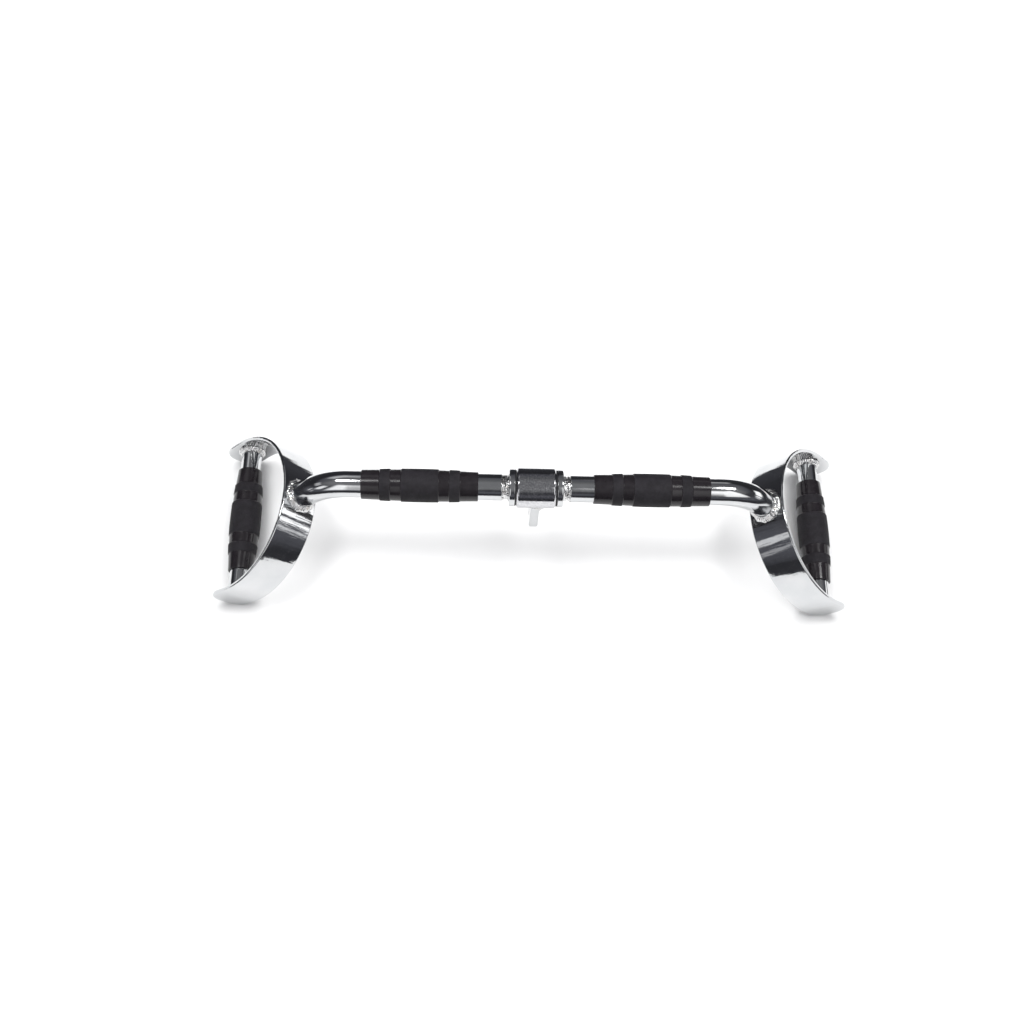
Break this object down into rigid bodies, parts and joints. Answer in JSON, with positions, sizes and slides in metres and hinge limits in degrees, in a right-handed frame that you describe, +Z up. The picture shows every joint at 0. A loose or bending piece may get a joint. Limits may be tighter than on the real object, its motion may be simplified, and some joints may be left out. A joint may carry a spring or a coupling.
{
  "type": "revolving pull-up bar",
  "caption": "Straight chromed pull-up and pull-down bar with rubber grips, a turning hanger eye in the middle and a sloping stirrup handle at each end.",
  "frame": {"origin": "on the floor under the middle of the bar, which stands on the four rounded tips of its two straps", "axes": "+X along the bar to the right end, +Y away from the viewer along the handles, +Z up"},
  "size_m": [0.6844, 0.18, 0.1452],
  "materials": {
    "chrome": "polished chrome plate",
    "weld": "plated weld bead, rippled",
    "steel": "turned steel, oiled",
    "bronze": "sintered bronze",
    "rubber": "moulded rubber with textured bands",
    "nylon": "black nylon"
  },
  "bodies": {
    "bar": {"swivel_spindle": "steel", "right_thrust_washer": "nylon", "right_collar": "chrome", "right_spindle_weld": "weld", "right_bar_tube": "chrome", "right_bar_grip": "rubber", "right_stirrup_strap": "chrome", "right_bar_weld": "weld", "right_handle_tube": "chrome", "right_handle_grip": "rubber", "right_handle_front_weld": "weld", "right_handle_rear_weld": "weld", "left_thrust_washer": "nylon", "left_collar": "chrome", "left_spindle_weld": "weld", "left_bar_tube": "chrome", "left_bar_grip": "rubber", "left_stirrup_strap": "chrome", "left_bar_weld": "weld", "left_handle_tube": "chrome", "left_handle_grip": "rubber", "left_handle_front_weld": "weld", "left_handle_rear_weld": "weld"},
    "hanger": {"swivel_sleeve": "chrome", "right_bush": "bronze", "left_bush": "bronze", "hanger_eye": "chrome", "hanger_eye_weld": "weld"}
  },
  "joints": [
    {"name": "hanger_swivel", "type": "hinge", "parent": "bar", "child": "hanger", "pos_m": [0, 0, 0.12419], "axis": [1, 0, 0], "continuous": true}
  ]
}
